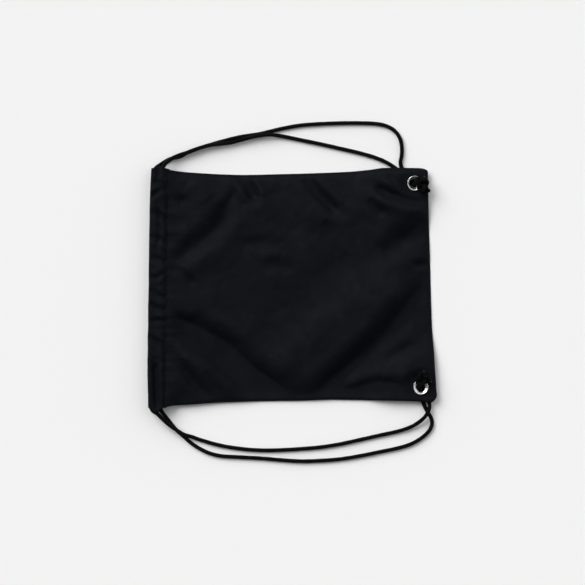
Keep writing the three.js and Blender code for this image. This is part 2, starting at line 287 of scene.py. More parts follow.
def cloth_material(name, dark, light, pitch=0.00055, weave_height=0.00012, crinkle=0.0006):
    """Coated cloth: a fine weave over small crinkles, with its colour and gloss slightly uneven."""
    material, tree, shader = new_material(name, Specular_IOR_Level=0.08, Sheen_Weight=0.012,
                                          Sheen_Roughness=0.45, Sheen_Tint=(0.75, 0.8, 1.0, 1))
    wear = noise_node(tree, scale=22.0, detail=5.0, roughness=0.6)
    vary(tree, shader, "Base Color", wear, 0.35, 0.68, dark, light)
    vary(tree, shader, "Roughness", noise_node(tree, scale=60.0), 0.3, 0.7, 0.62, 0.78)
    grain = noise_node(tree, scale=95.0, detail=4.0, roughness=0.6)
    creases = bump(tree, shader, grain, crinkle, strength=0.6)
    bump(tree, shader, plain_weave(tree, pitch), weave_height, strength=0.7, before=creases)
    return material


def braid_material():
    """Round braid: two families of strands that cross, each of fine fibres."""
    material, tree, shader = new_material("braided_cord", Specular_IOR_Level=0.05, Sheen_Weight=0.003,
                                          Sheen_Roughness=0.35)
    u, v = uv_axes(tree)
    fibre = 0.0017 / 5
    turns_u = math_node(tree, "MULTIPLY", u, BRAID_STRANDS / 2 / CORD_RADIUS)
    turns_v = math_node(tree, "MULTIPLY", v, 2 * math.pi / BRAID_PITCH * 2)
    right = math_node(tree, "SINE", math_node(tree, "ADD", turns_u, turns_v))
    left = math_node(tree, "SINE", math_node(tree, "SUBTRACT", turns_u, turns_v))
    crossing = math_node(tree, "MAXIMUM", right, left)
    fibres = math_node(tree, "SINE", math_node(tree, "MULTIPLY", v, 2 * math.pi / fibre))
    height = math_node(tree, "ADD", crossing, math_node(tree, "MULTIPLY", fibres, 0.12))
    # The colour follows the braid's height: painted shade, darker in the hollows between the strands.
    vary(tree, shader, "Base Color", crossing, 0.0, 0.95, (0.0006, 0.0006, 0.0008), (0.0024, 0.0024, 0.0030))
    vary(tree, shader, "Roughness", noise_node(tree, scale=300.0), 0.3, 0.7, 0.45, 0.62)
    bump(tree, shader, height, distance=0.0004, strength=0.8)
    return material


def thread_material():
    """Twisted thread: slanting ridges, with so many radians to a metre along it and across it."""
    material, tree, shader = new_material("sewing_thread", Roughness=0.6, Specular_IOR_Level=0.08)
    u, v = uv_axes(tree)
    along, across = 2500.0, 9000.0
    turns_u, turns_v = math_node(tree, "MULTIPLY", u, along), math_node(tree, "MULTIPLY", v, across)
    twist = math_node(tree, "SINE", math_node(tree, "ADD", turns_u, turns_v))
    # The colour follows the twist: painted shade, darker in the grooves between its ridges.
    vary(tree, shader, "Base Color", twist, 0.1, 0.9, (0.0012, 0.0013, 0.0018), (0.0040, 0.0042, 0.0055))
    bump(tree, shader, twist, distance=0.0001, strength=0.6)
    return material


def nickel_material():
    """Plated metal, a little dull and scuffed."""
    material, tree, shader = new_material("nickel_plated_brass", Metallic=1.0)
    tarnish, scuffs = noise_node(tree, scale=160.0, detail=4.0), noise_node(tree, scale=420.0, detail=5.0)
    vary(tree, shader, "Base Color", tarnish, 0.3, 0.75, (0.62, 0.61, 0.59), (0.86, 0.855, 0.84))
    vary(tree, shader, "Roughness", scuffs, 0.3, 0.75, 0.12, 0.3)
    bump(tree, shader, noise_node(tree, scale=900.0), distance=0.00006, strength=0.5)
    return material


def tip_material():
    """The melted end of a cord, greyer than its braid: the grey is a painted highlight of its shine."""
    material, tree, shader = new_material("cord_tip", Roughness=0.4)
    soot_and_glint = noise_node(tree, scale=900.0, detail=4.0)
    # Painted highlight: the grey stands in for the shine of the melted end, with random darker soot patches.
    vary(tree, shader, "Base Color", soot_and_glint, 0.35, 0.7, (0.03, 0.03, 0.032), (0.2, 0.2, 0.2))
    bump(tree, shader, noise_node(tree, scale=700.0, detail=4.0), distance=0.0004, strength=0.8)
    return material


NYLON = cloth_material("nylon_cloth", dark=(0.0019, 0.00245, 0.00435), light=(0.0029, 0.00355, 0.00595))
# The hems' cloth is the same nylon painted a little darker: painted shade over the creased hems.
SHADED_HEM_CLOTH = cloth_material("hem_cloth", dark=(0.0018, 0.0022, 0.0038), light=(0.0027, 0.0032, 0.0052),
                           crinkle=0.0008)
LINING = cloth_material("seam_binding", dark=(0.0045, 0.0045, 0.0050), light=(0.0075, 0.0075, 0.0082),
                        pitch=0.0009)
BRAID = braid_material()
THREAD = thread_material()
NICKEL = nickel_material()
TIP = tip_material()

# ------ cords
# Each strand in millimetres: the place in its eyelet's hole where it rises, and its route there from the
# mouth. A spot without a height lies on the floor.
STRANDS = {
    ("right", "outer"): ((152.6, -171.5), [
        (166.5, 198.6, 3.1), (171.8, 193.3), (176.6, 187), (180.4, 180.6), (182.9, 173.2), (185.2, 163.9),
        (191.2, 149.8), (196.6, 135.7), (205.5, 107.4), (212.9, 79.1), (217.8, 50.7), (224.9, 22.4),
        (230.5, -5.9), (233, -34.3), (234.5, -62.6), (235, -91), (234, -117), (230, -132), (223, -142),
        (213, -148.4), (200, -150.9), (189, -150.6), (180.6, -149.2), (173.5, -150.5), (167, -155.8)]),
    ("right", "inner"): ((148.2, -167.7), [
        (166.8, 186.5, 15.6), (173.3, 182.6, 13.5), (177.2, 178, 12), (181.1, 172.2, 10.4),
        (184.9, 163.9, 8.9), (191.3, 149.8, 8.7), (196.5, 135.7, 8.7), (200.6, 121.5, 8.6),
        (202.5, 107.3, 8), (204.3, 93.2, 6.5), (208, 79, 6.5), (212.1, 64.9, 7.5), (215.2, 50.7, 8.2),
        (216.6, 36.5, 7.4), (215.3, 22.3, 4.6), (210, -6.2), (204.6, -34.6), (198.6, -63.1), (192.3, -91.6),
        (185.5, -115.5), (178.5, -131.5), (171.6, -142), (165, -149.6)]),
    ("left", "inner"): ((-137.4, -184.9), [
        (-176.5, 197.6, 16.3), (-182, 191.8, 15.6), (-188.6, 184.8, 14), (-194.8, 178.2, 12),
        (-200.4, 171, 10), (-205.3, 162.4, 8.8), (-209.6, 152.9, 7.8), (-213, 143, 5.2), (-217.6, 129.5),
        (-225, 101.5), (-229.3, 73.1), (-231.2, 44.6), (-230.6, 16.2), (-228.6, -12.1), (-225.8, -40.5),
        (-221, -68.8), (-214.4, -97.1), (-207.6, -125.5), (-201.2, -152.5, 3.2), (-195.2, -169, 4.6),
        (-187.3, -181.6, 6.6), (-181, -188.2, 8.2), (-174, -192.8, 8.7), (-167, -195, 6.4),
        (-159.6, -194.5, 3.6), (-152, -191.3)]),
    ("left", "outer"): ((-139.6, -179.6), [
        (-175.5, 185, 3.2), (-181.5, 181), (-188.4, 175.4), (-196.6, 168.7), (-205.3, 161.4), (-214, 152.8),
        (-222, 143), (-230.4, 129.5), (-236.6, 115.6), (-240, 100), (-241.4, 72.9), (-242.6, 44.5),
        (-244.6, 16.1), (-246, -12.4), (-244.9, -40.8), (-242.3, -69.1), (-237.4, -97.5), (-231.2, -125.8),
        (-225.3, -152), (-219.8, -169), (-212.3, -182.2), (-205, -191), (-197.5, -196.8), (-189.8, -199),
        (-182.2, -197.6), (-175.6, -193.8), (-168.6, -189.6), (-160.8, -186.4), (-152.4, -183.9)]),
}


def strand(side, which):
    """The hole and the route of one strand, in metres."""
    hole, route = STRANDS[side, which]
    return [c / 1000 for c in hole], [(x / 1000, y / 1000, z[0] / 1000 if z else LOW) for x, y, *z in route]


def rise_through(start, hole):
    """The end of a strand: round from the surface under the corner, and up through the eyelet."""
    bend, past, above, steepest = 0.009, 0.0006, 0.0006, math.radians(72)
    hole = np.array(hole)
    heading = hole - np.array(start[:2])
    heading /= np.linalg.norm(heading)
    spots = []
    for angle in np.linspace(0, steepest, 7):
        along = past - bend * (math.sin(steepest) - math.sin(angle))
        spots.append((*(hole + heading * along), LOW + bend * (1 - math.cos(angle))))
    top = TIE_HEIGHT + above
    climbed = LOW + bend * (1 - math.cos(steepest))
    spots.append((*(hole + heading * (past + (top - climbed) / math.tan(steepest))), top))
    return spots


def channel_loop(exit_x, far_x, front_y, back_y):
    """In along one hem, round at the far side of the mouth, and back along the other."""
    sign = math.copysign(1, far_x - exit_x)
    before_turn = sign * 0.004
    half_y, half_z = (front_y - back_y) / 2, (FRONT_RUN_Z - BACK_RUN_Z) / 2
    middle_y, middle_z = (front_y + back_y) / 2, (FRONT_RUN_Z + BACK_RUN_Z) / 2
    radius = math.hypot(half_y, half_z)
    straights = list(np.linspace(exit_x, far_x - before_turn, 12))
    turn = []
    for angle in np.linspace(0, math.pi, 13):
        side = math.cos(angle)
        turn_x = far_x + sign * radius * math.sin(angle)
        turn.append((turn_x, middle_y + half_y * side, middle_z + half_z * side))
    front = [(x, front_y, FRONT_RUN_Z) for x in straights]
    back = [(x, back_y, BACK_RUN_Z) for x in straights[::-1]]
    return front + turn + back


NESTLE = 0.0012  # how far a strand beside the mouth moves to the other


def drawn_together(route, other):
    """A strand's route with its stretch beside the mouth moved a little towards the other strand."""
    moved = []
    for x, y, z in route:
        near = float(smooth(y, 0.140, 0.165) * (1 - smooth(y, 0.190, 0.1985)))
        px, py = min(other, key=lambda spot: math.hypot(spot[0] - x, spot[1] - y))[:2]
        gap = math.hypot(px - x, py - y)
        shift = near * NESTLE / gap
        moved.append((x + (px - x) * shift, y + (py - y) * shift, z))
    return moved


def whole_route(side):
    """A cord from knot to knot: up one strand, through both hems and down the other strand."""
    (inner_hole, inner), (outer_hole, outer) = strand(side, "inner"), strand(side, "outer")
    inner_route, outer_route = drawn_together(inner, outer), drawn_together(outer, inner)
    if side == "left":
        loop = channel_loop(HEM_LEFT, HEM_RIGHT, FOLD_RUN_Y, STITCH_RUN_Y)
    else:
        loop = channel_loop(HEM_RIGHT, HEM_LEFT, STITCH_RUN_Y, FOLD_RUN_Y)
    first, last = loop[0], loop[-1]
    out = math.copysign(0.003, first[0])
    inner_end = inner_route + rise_through(inner_route[-1], inner_hole)
    outer_end = outer_route + rise_through(outer_route[-1], outer_hole)
    leaving = [(first[0] + out, *first[1:])]
    entering = [(last[0] + out, *last[1:])]
    return inner_end[::-1] + leaving + loop + entering + outer_end


def braid_relief(around, along):
    """The shallow hills of the braid, over the cord's angles and length."""
    turns = BRAID_STRANDS / 2 * around
    travel = 2 * math.pi * along / BRAID_PITCH * 2
    return 0.00010 * np.maximum(np.sin(turns + travel), np.sin(turns - travel))


KNOTS = {"right": (0.1496, -0.1790), "left": (-0.1268, -0.1846)}
KNOT_TURN = {"right": 0.4, "left": 0.4 + math.pi / 2}
KNOT_SIZE, KNOT_WAVE = 0.0078, 0.0027  # half its width, and how far its strand rises and dips
# Direction and reach of the two cut ends past each knot.
TAILS = {"right": ((-2.20, 0.0150), (-0.55, 0.0098)), "left": ((-1.75, 0.0112), (-0.35, 0.0098))}


def knot_strand(side, offset):
    """One of an overhand knot's two parallel strands: a trefoil that is open where the cord comes in."""
    turn = Euler((0, 0, KNOT_TURN[side])).to_matrix()
    middle = Vector((*KNOTS[side], TIE_HEIGHT + 0.0050))
    opening = 0.16
    spots = []
    for t in np.linspace(opening, 2 * math.pi - opening, 90):
        x = (math.sin(t) + 2 * math.sin(2 * t)) / 3
        y = (math.cos(t) - 2 * math.cos(2 * t)) / 3
        wide = KNOT_SIZE + offset * 0.9
        spot = Vector((x * wide * 1.08, y * wide * 0.94, -math.sin(3 * t) * KNOT_WAVE + offset * 0.9))
        spots.append(tuple(middle + turn @ spot))
    return spots


def cut_end(side, i, angle, reach):
    """One short cut end of a cord, from inside the knot out to reach, with its melted tip."""
    ray = Vector((math.cos(angle), math.sin(angle), 0))
    aside = Vector((-ray.y, ray.x, 0)) * (0.0012 if i else -0.0012)
    start = Vector((*KNOTS[side], TIE_HEIGHT + 0.0044))
    spots = []
    # Shares of the reach and of the bend to the side, and the drop towards the cloth.
    for along, bend, drop in ((0.30, 0, 0), (0.55, 0.6, 0.0002), (0.8, 1.0, 0.0010), (1.0, 1.5, 0.0022)):
        spots.append(tuple(start + ray * along * reach + aside * bend - Vector((0, 0, drop))))
    path = catmull_rom(spots, 0.0006)
    node = f"{side}_cord_end_{'ab'[i]}"
    end = tube(f"{node}_braid", path, 0.0025, 16, BRAID, braid_relief, 0.75)
    way = (path[-1] - path[-3]) / np.linalg.norm(path[-1] - path[-3])
    tip_path = np.array([path[-1] - way * 0.0003, path[-1] + way * 0.0006])
    tip = tube(f"{node}_tip", tip_path, 0.0021, 16, TIP)
    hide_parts(node)
    return [end, tip]


def make_knot(side):
    """Both ends of a cord, tied together in an overhand knot, with their two short cut ends."""
    parts = []
    for i, offset in enumerate((-0.0012, 0.0016)):
        path = catmull_rom(knot_strand(side, offset), 0.0008)
        parts.append(tube(f"{side}_knot_strand_{'ab'[i]}", path, 0.0026, 16, BRAID, braid_relief))
    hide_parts(f"{side}_cord_knot")
    for i, (angle, reach) in enumerate(TAILS[side]):
        parts += cut_end(side, i, angle, reach)
    for piece in parts:
        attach(piece, "bag")
    return parts


def make_cord(side):
    """One cord, knot to knot, and its knot, which goes with the bag."""
    clearance, relief_room = 0.0001, 0.00005
    path = catmull_rom(whole_route(side), 0.0014)
    path[:, 2] = np.maximum(path[:, 2], LOW + clearance)
    piece = tube(f"{side}_cord", path, CORD_RADIUS - relief_room, 16, BRAID, braid_relief)
    nodes = [f"{side}_cord_{part}" for part in ("channel_loop", "outer_strand", "inner_strand")]
    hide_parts(*nodes)
    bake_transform(piece)
    knot = make_knot(side)


for cord_side in ("left", "right"):
    make_cord(cord_side)

# ------ shape of the bag, in millimetres
# The sides run from the bottom up to the hem, and the bottom from left to right.
EDGE_POINTS = {
    "left": [(-159.8, -198.6), (-159.4, -190), (-158.7, -167.4), (-158.4, -124.8), (-158.3, -82.2),
        (-158.3, -53.8), (-160.4, -11.2), (-161.4, 31.4), (-163.1, 74), (-165.5, 116.5), (-168.1, 144.9),
        (-169.6, 167.6), (-171.7, 180.0)],
    "right": [(168.9, -187.3), (171.0, -183.3), (172.0, -177.1), (172.1, -162.9), (171.6, -124.6),
        (168.8, -106.1), (165.9, -77.8), (163.4, -35.2), (161, 21.6), (159.2, 78.3), (160.8, 135.2),
        (162.7, 163.6), (164.9, 180.0)],
    "bottom": [(-159.8, -198.6), (-156.6, -202.1), (-151.4, -205.1), (-142.4, -204.5), (-114.1, -202.3),
        (-85.7, -200.2), (-57.3, -197.5), (-14.7, -195.3), (27.8, -193.7), (84.6, -191.1), (127.2, -189.5),
        (160, -188.4), (166.2, -188.2), (168.9, -187.3)],
}
STITCH_Y = 178.2
TOP_Y = 180.0  # the panels lap over the hems' stitched edges up to here
EDGE_STEP = 1.0
PANEL_WIDTH, PANEL_HEIGHT = 328, 372    # what one whole share along u and along v measures
FLAT_WIDTH, FLAT_HEIGHT = 0.335, 0.385  # the same for the flat cloth, in metres
EDGES = {name: catmull_rom(points, EDGE_STEP) for name, points in EDGE_POINTS.items()}


def on_edge(name, share):
    """The outline's points at these shares of one edge's length."""
    path = EDGES[name]
    along = travelled(path) / length_of(path)
    return np.stack([np.interp(share, along, path[:, k]) for k in (0, 1)], axis=-1)


def outline_point(u, v):
    """A point of the bag in plan: u from the left side to the right, v from the bottom to the hem."""
    u, v = u[..., None], v[..., None]
    left, right = on_edge("left", v[..., 0]), on_edge("right", v[..., 0])
    bottom = on_edge("bottom", u[..., 0])
    (low_left, top_left), (low_right, top_right) = [np.array(EDGE_POINTS[side])[[0, -1]]
                                                    for side in ("left", "right")]
    top = mix(top_left, top_right, u)
    return mix(left, right, u) + mix(bottom, top, v) - mix(mix(low_left, low_right, u), top, v)


LIFT_CENTRES = ((158.0, -160.0), (-147.0, -187.0))
LIFT_NEAR, LIFT_FAR = 36, 90
CORNER_LIFT = 7.6


def corner_lift(x, y):
    """The bottom corners lie on the cords that pass under them."""
    away = [np.hypot(x - cx, y - cy) for cx, cy in LIFT_CENTRES]
    return CORNER_LIFT * (1 - smooth(np.minimum(*away), LIFT_NEAR, LIFT_FAR))


# Folds of the front panel: depth (below 0 for a ridge), half width, and the line that each one follows.
FOLDS = [
    (8.6, 19, [(-40, 192), (-50, 175), (-66, 153), (-79, 130), (-92, 106), (-107, 84), (-126, 63), (-141, 42),
               (-154, 20), (-162, 0)]),
    (2.6, 8, [(-32, 194), (-37, 180), (-47, 166), (-60, 150)]),
    (3.2, 16, [(-46, 152), (-60, 124), (-78, 102), (-98, 82)]),
    (3.8, 13, [(14, -190), (-2, -174), (-29, -154), (-63, -128), (-79, -112), (-99, -91), (-121, -69),
               (-140, -45), (-156, -22)]),
    (4.3, 12, [(36, 188), (38, 172), (46, 158), (57, 142), (69, 127), (83, 111), (106, 95), (122, 86)]),
    (4.8, 8, [(160, -12), (138, -29), (124, -43), (112, -56), (106, -66)]),
    (6.6, 7, [(158, 80), (148, 69), (136, 62), (122, 56)]),
    (1.3, 6, [(106, 108), (122, 93), (138, 84), (152, 78)]),
    (5.0, 8, [(148, -110), (138, -126), (131, -146), (127, -166), (127, -190)]),
    (2.6, 7, [(128, -104), (112, -118), (104, -128)]),
    (4.4, 14, [(96, -196), (86, -180), (72, -160), (58, -140), (46, -120)]),
    (2.8, 7, [(-80, 194), (-94, 178), (-106, 163), (-123, 150), (-139, 137), (-156, 122)]),
    (0.8, 8, [(-120, 128), (-136, 111), (-148, 94)]),
    (5.2, 11, [(-158, -64), (-153, -86), (-146, -106), (-141, -124), (-142, -144), (-146, -162)]),
    (1.8, 9, [(-104, -130), (-90, -152), (-78, -178)]),
    (2.0, 6, [(21, 188), (20, 163), (11, 151), (-2, 140)]),
    (2.2, 12, [(142, 38), (118, 22), (94, 8), (72, -4)]),
    (1.2, 8, [(62, 75), (62, 36)]),
    (1.2, 9, [(30, 44), (28, 0)]),
    (3.6, 7, [(138, 184), (124, 170), (116, 156)]),
    (2.0, 5, [(162, -130), (150, -142), (140, -150)]),
    (2.4, 5, [(34, -196), (36, -184), (34, -170)]),
    (1.6, 5, [(-150, -140), (-156, -150), (-152, -164)]),
    (-2.0, 12, [(-88, 156), (-122, 113), (-150, 75)]),
    (-4.4, 20, [(-148, 0), (-131, -29), (-111, -53), (-89, -75), (-69, -96), (-51, -114), (-19, -140),
                (12, -162)]),
    (-6.4, 30, [(-122, 22), (-106, 2), (-82, -24), (-58, -52), (-36, -78), (-14, -102), (12, -126),
                (36, -140)]),
    (-2.4, 13, [(150, 150), (136, 132), (122, 118)]),
    (-1.8, 11, [(112, -18), (92, -46)]),
    (-1.2, 8, [(52, 36), (46, 20)]),
]
# The same for the top of the front hem.
HEM_FOLDS = [
    (2.6, 4, [(100, 206), (97, 198), (88, 184), (80, 174)]),
    (2.0, 3.4, [(116, 206), (124, 194), (128, 182), (122, 172)]),
    (1.8, 3.2, [(14, 206), (10, 196), (16, 184), (12, 174)]),
    (1.6, 3.0, [(-50, 204), (-46, 192), (-52, 180)]),
    (1.7, 4, [(38, 206), (34, 191), (28, 176)]),
    (2.4, 4, [(-4, 206), (-13, 193), (-20, 176)]),
    (2.2, 4, [(-24, 206), (-30, 192), (-36, 174)]),
    (2.8, 4, [(-68, 206), (-76, 192), (-92, 172)]),
    (2.8, 5, [(-100, 196), (-125, 194), (-158, 191)]),
    (1.8, 4, [(140, 206), (134, 190), (128, 174)]),
    (1.5, 4, [(66, 206), (60, 190), (54, 174)]),
    (3.2, 3.4, [(-100, 194), (-124, 193), (-148, 192), (-168, 190)]),
    (1.8, 3.2, [(108, 193), (88, 191), (66, 191), (48, 193)]),
    (2.2, 3.2, [(170, 192), (158, 193), (140, 194)]),
]


def fold_height(x, y, folds):
    """Height that the folds add. Each has a soft shoulder on both sides, and is shallow at its ends."""
    total = np.zeros_like(x)
    for depth, width, line in folds:
        path = catmull_rom(line, 4.0)
        nearest = np.full(x.shape, 1e9)
        share = np.zeros_like(x)
        for i, (a, b) in enumerate(zip(path, path[1:])):
            d = b - a
            t = np.clip(((x - a[0]) * d[0] + (y - a[1]) * d[1]) / (d @ d), 0, 1)
            away = np.hypot(x - a[0] - t * d[0], y - a[1] - t * d[1])
            closer = away < nearest
            nearest = np.where(closer, away, nearest)
            share = np.where(closer, (i + t) / (len(path) - 1), share)
        fade = smooth(share, 0, 0.18) * (1 - smooth(share, 0.82, 1))
        body = np.exp(-((nearest / width) ** 2))
        shoulder = 0.3 * np.exp(-(((nearest - 1.9 * width) / width) ** 2))
        total -= depth * (body - shoulder) * mix(0.25, 1.0, fade)
    return total


def wander(x, y, size, seed):
    """Smooth noise from -1 to 1, with hills about size millimetres apart."""
    flat = [noise.noise(Vector((a / size, b / size, seed))) for a, b in zip(x.ravel(), y.ravel())]
    return np.array(flat).reshape(x.shape)


FRONT_PUCKERS, BACK_PUCKERS = 2.2, 6.1


def puckers(x, seed):
    """Small gathers along the hem's stitching."""
    line = np.zeros_like(x)
    wide, narrow = wander(x, line + seed, 9.0, seed), wander(x, line - seed, 4.0, seed + 3)
    return wide * 0.9 + narrow * 0.45


def grid_shares(count, size):
    """Shares from 0 to 1 of a panel that is size millimetres long, with extra ones close to both ends."""
    close = [0.0] + [e / size for e in (0.3, 0.8, 1.5, 2.5, 4.0)]
    inner = np.linspace(close[-1], 1 - close[-1], count)[1:-1]
    return np.concatenate([close, inner, [1 - c for c in close[::-1]]])


CLOTH = 0.6        # thickness
FOLD_DEPTH = 1.62  # factor on the depths in FOLDS
PUCKERING = 1.7    # factor on the gathers at the stitching
LAP = 0.1          # gap between two cloths that touch
FRONT_LAP = 5.45   # the front panel's edge above the front hem's underside
RISE = 5.0         # how far the side seams leave the floor towards the mouth
ALLOWANCE = 1.7    # how much the seam allowances lift the cloth above them
PUFF = 9.2         # the bag's own thickness, away from its seams


def edge_distance(u, v):
    """Distance to the nearest seam, and to the nearest side."""
    side = np.minimum(u, 1 - u) * PANEL_WIDTH
    return np.minimum(side, v * PANEL_HEIGHT), side


def seam_rise(v):
    """How far the side seams are above the floor at v."""
    return RISE * smooth(v, 0.72, 0.95)


def eyelet_flat(x, y):
    """1 at an eyelet's flange, 0 well away from it."""
    near, far = 12.5, 30
    away = [np.hypot(x - ex / MM, y - ey / MM) for ex, ey in EYELETS.values()]
    return 1 - smooth(np.minimum(*away), near, far)


def back_surface(x, y, u, v):
    """Underside of the back panel: on the floor, with low waves, and curling up along its side seams."""
    clearance, curl_width = 0.2, 48
    distance, side = edge_distance(u, v)
    curl = (1 - np.clip(side / curl_width, 0, 1)) ** 2 * seam_rise(v)
    opening = smooth(v, 0.95, 1)
    wave = 0.5 * (1 + wander(x, y, 34, 5.1)) * 0.9 + 0.3 * (1 + wander(x, y, 12, 8.3)) * 0.5
    free = (1 - eyelet_flat(x, y)) * smooth(distance, 0, 25) * (1 - smooth(v, 0.93, 1))
    return corner_lift(x, y) + curl * (1 - opening) + clearance + wave * free


def front_surface(x, y, u, v):
    """Underside of the front panel: up over the allowances inside its seams, then slowly up to the middle.

    Near the eyelets it lies flat. On the left half the allowances are thicker and the slope is longer.
    """
    distance, side = edge_distance(u, v)
    seam = corner_lift(x, y) + CLOTH + seam_rise(v) + LAP
    still = eyelet_flat(x, y)
    left = 1 - smooth(x, -70, 40)
    height = mix(2.2, 3.2, left) * (1 - still) + ALLOWANCE * still
    reach = mix(9, 5, left * (1 - still))
    edge = height * (1 - (1 - np.clip(distance / reach, 0, 1)) ** 2.4)
    ridge = ALLOWANCE * left * (1 - still) * np.exp(-((side - 4) / 7) ** 2)
    groove = ALLOWANCE * smooth(x, 60, 120) * (1 - still) * np.exp(-((side - 4) / 2.2) ** 2)
    slope, roundness = mix(72, 130, left), mix(2.4, 1.5, left)
    pillow = 1 - (1 - np.clip(distance / slope, 0, 1)) ** roundness
    raised = PUFF * pillow * (1 - still)
    bare = seam + (edge + ridge - groove) + raised
    wrinkle = wander(x, y, 26, 1.7) * 0.9 + wander(x, y, 11, 2.9) * 0.48
    wrinkle = wrinkle + wander(x + y, x - y, 55, 4.1) * 1.3
    free = smooth(distance, 0, 16) * (1 - still)
    folds = (FOLD_DEPTH * fold_height(x, y, FOLDS) + wrinkle) * mix(0.25, 1.0, free) * (1 - still)
    deepest = -0.8  # of a dip, below the line from seam to seam
    dips = np.maximum(raised + folds, deepest) - raised
    hem_side = FRONT_HEM_BASE / MM + FRONT_LAP + puckers(x, FRONT_PUCKERS) * PUCKERING
    top = mix(smooth(v, 0.955, 1), smooth(v, 0.90, 1), smooth(side, 2, 22))
    return mix(bare, hem_side, top) + dips * (1 - smooth(v, 0.92, 1))


def slab(name, shape, u, v, material, thickness=CLOTH, pattern=0.0):
    """A thin closed sheet over the outline's u and v stations. shape gives its underside.

    pattern moves its weave along, so that two sheets don't show the same one.
    """
    uu, vv = np.meshgrid(u, v)
    xy = outline_point(uu, vv)
    x, y = xy[..., 0], xy[..., 1]
    z = shape(x, y, uu, vv)
    low = np.stack([x, y, z], -1).reshape(-1, 3) * MM
    high = np.stack([x, y, z + thickness], -1).reshape(-1, 3) * MM
    rows, cols = uu.shape
    count = rows * cols
    flat_uv = np.stack([uu * FLAT_WIDTH + pattern, vv * FLAT_HEIGHT], -1).reshape(-1, 2)
    faces = []
    for i in range(rows - 1):
        for j in range(cols - 1):
            a = i * cols + j
            faces.append((a + count, a + 1 + count, a + cols + 1 + count, a + cols + count))
            faces.append((a + cols, a + cols + 1, a + 1, a))
    curved = len(faces)
    rim = list(range(cols)) + [i * cols + cols - 1 for i in range(1, rows)]
    rim += [(rows - 1) * cols + j for j in range(cols - 2, -1, -1)]
    rim += [i * cols for i in range(rows - 2, 0, -1)]
    faces += [(a, b, b + count, a + count) for a, b in zip(rim, rim[1:] + rim[:1])]
    uvs = [flat_uv[c % count] for face in faces for c in face]
    return add_mesh(name, np.vstack([low, high]), faces, uvs, material, curved)


MIDDLE = 0.515  # the share of the width where the two halves of each panel meet
PANEL_U = grid_shares(128, PANEL_WIDTH)
PANEL_V = grid_shares(148, PANEL_HEIGHT)
SEAMLESS = 0.0001  # a station this close to the halves' meeting line keeps its shading smooth
HALVES = {"left": [*PANEL_U[PANEL_U < MIDDLE], MIDDLE - SEAMLESS, MIDDLE],
          "right": [MIDDLE, MIDDLE + SEAMLESS, *PANEL_U[PANEL_U > MIDDLE]]}
HOLE_RADIUS = 0.0071                                   # in metres


def gather(piece):
    """Bakes the piece's placement into its mesh."""
    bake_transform(piece)


def punch(piece, side):
    """Cuts the eyelet's hole out of a cloth piece."""
    x, y = EYELETS[side]
    bpy.ops.mesh.primitive_cylinder_add(vertices=48, radius=HOLE_RADIUS, depth=0.05, location=(x, y, 0.01))
    cutter = bpy.context.object
    modifier = piece.modifiers.new("hole", "BOOLEAN")
    modifier.operation = "DIFFERENCE"
    modifier.solver = "EXACT"
    modifier.object = cutter
    bpy.context.view_layer.objects.active = piece
    bpy.ops.object.modifier_apply(modifier=modifier.name)
    bpy.data.objects.remove(cutter)


for half, shares in HALVES.items():
    for panel, shape, pattern in (("back", back_surface, 0.0), ("front", front_surface, 0.4)):
        cloth = slab(f"{panel}_panel_{half}_half", shape, shares, PANEL_V, NYLON, pattern=pattern)
        punch(cloth, half)
        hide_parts(f"{panel}_panel")
        gather(cloth)

# ------ seams and patches inside the bag, in millimetres
INNER_THICKNESS = 0.5
# The shares of the bag's width that the strips and the doublings cover.
SIDE_STRIPS = {"left": (0.008, 0.026), "right": (0.974, 0.992)}
DOUBLINGS = {"left": (0.03, 0.15), "right": (0.85, 0.97)}


def above_back(x, y, u, v):
    """Underside of a piece that lies on the back panel."""
    return back_surface(x, y, u, v) + CLOTH + LAP


inside = {}
for half, (start, end) in SIDE_STRIPS.items():
    strip = slab(f"{half}_side_seam_allowance", above_back, np.linspace(start, end, 5),
                 np.linspace(0.01, 0.9, 90), LINING, INNER_THICKNESS)
    inside[half] = [strip]
    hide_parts(f"{half}_side_seam")
    gather(strip)
bottom_strip = slab("bottom_seam_allowance", above_back, np.linspace(0.03, 0.97, 120),
                    np.linspace(0.004, 0.02, 5), LINING, INNER_THICKNESS)
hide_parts("bottom_seam")
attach(bottom_strip, "bag")
inside["left"].append(bottom_strip)
for half, (start, end) in DOUBLINGS.items():
    patch = slab(f"{half}_corner_doubling", above_back, np.linspace(start, end, 24),
                 np.linspace(0.026, 0.15, 26), NYLON, INNER_THICKNESS)
    punch(patch, half)
    inside[half].append(patch)
    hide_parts(f"{half}_corner_patch")
    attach(patch, "bag")

# ------ hems, in millimetres
HEM_STEP = 1.6                   # between stations along a hem
PROFILE = 56                     # points around it
TIP_HALF, HEM_HALF = 0.5, 3.62   # half its thickness at the stitched edge, and over the cords
ROUNDING = 3.4                   # radius of the mouth fold
FRONT_TIP, BACK_TIP = 4.3, 1.55  # the hems' stitched edges above the hems' undersides
CORD_COVER = 3.1                 # the cloth stays this far from the middle of a cord inside it
CORD_WIDTH = 4.4                 # half the width of the hill that a cord makes
RESTING, ABOVE_BACK = 0.12, 0.9  # lowest points of the back hem: on the floor, and over the back panel
SKIN = 0.45                      # thickness of its cloth
# The ends of both hems in plan, as y and x.
HEM_ENDS = {"left": [(177, -172.2), (185, -173.6), (191, -178.5), (194, -180.5), (199, -176.2),
                     (206, -170.4)],
            "right": [(177, 165.2), (184, 167.0), (191, 169.6), (198, 168.2), (206, 165.2)]}


def hem_reach(x, y):
    """x along a hem, stretched so that the hem's ends at y are where HEM_ENDS has them."""
    left, right = [np.interp(y, *zip(*HEM_ENDS[side])) for side in ("left", "right")]
    return np.where(x < 0, x * left / (HEM_LEFT / MM), x * right / (HEM_RIGHT / MM))


